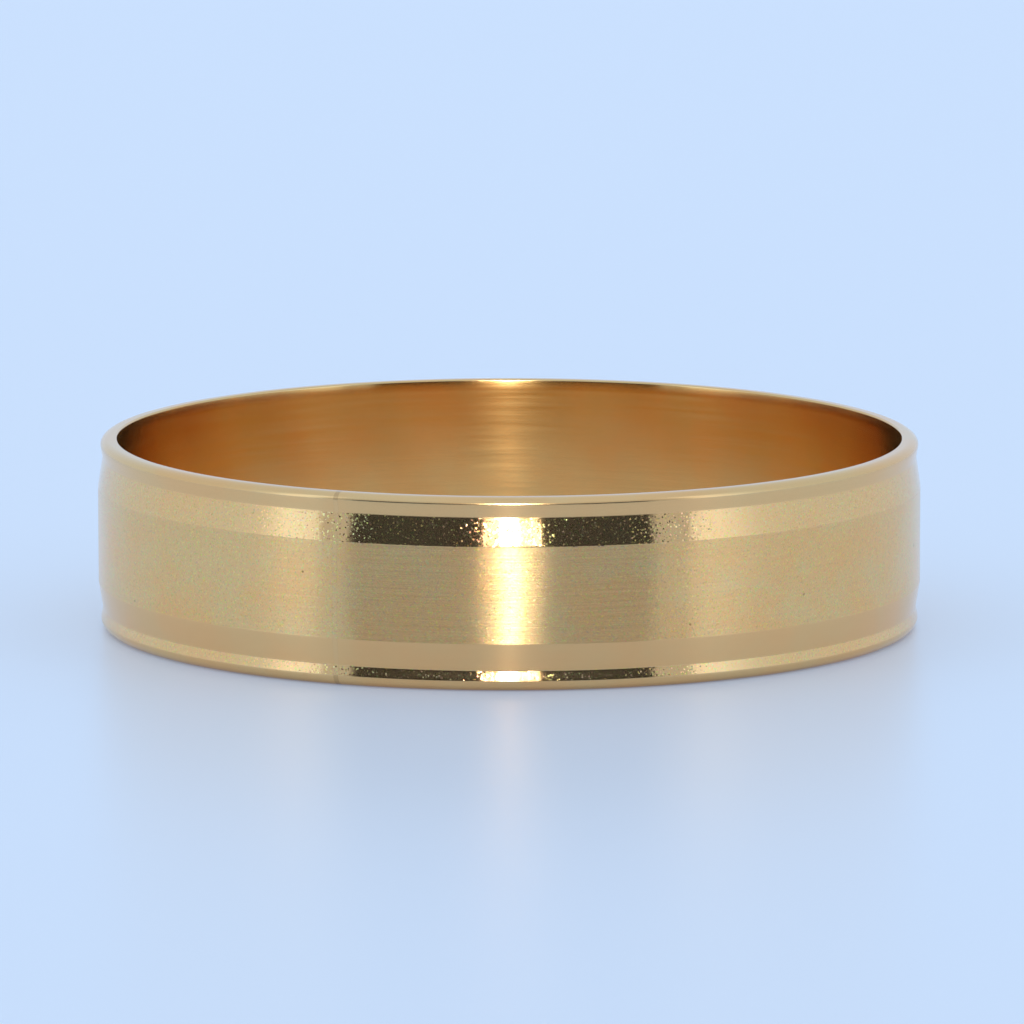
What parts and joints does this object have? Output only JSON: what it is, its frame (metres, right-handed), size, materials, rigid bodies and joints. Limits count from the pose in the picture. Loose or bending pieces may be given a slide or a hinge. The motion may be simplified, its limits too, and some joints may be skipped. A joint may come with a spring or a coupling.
{
  "type": "wedding band",
  "caption": "Thin flat gold wedding band with a satin centre field between bright-cut grooves near each rounded edge, closed by a soldered joint.",
  "frame": {"origin": "on the ring's axis, at the lower edge it rests on", "axes": "+Z is the ring's own axis, up through the finger hole; -Y is the front, with the soldered joint 24 degrees round from it towards -X"},
  "size_m": [0.0174, 0.0174, 0.004],
  "materials": {
    "yellow_gold": "circumferentially brushed satin centre field, bright-cut groove flanks, polished rim and bore",
    "gold_solder": "gold solder filed flush with the band, slightly paler than it"
  },
  "bodies": {
    "root": {"band_hoop": "yellow_gold", "solder_seam": "gold_solder"}
  },
  "joints": []
}
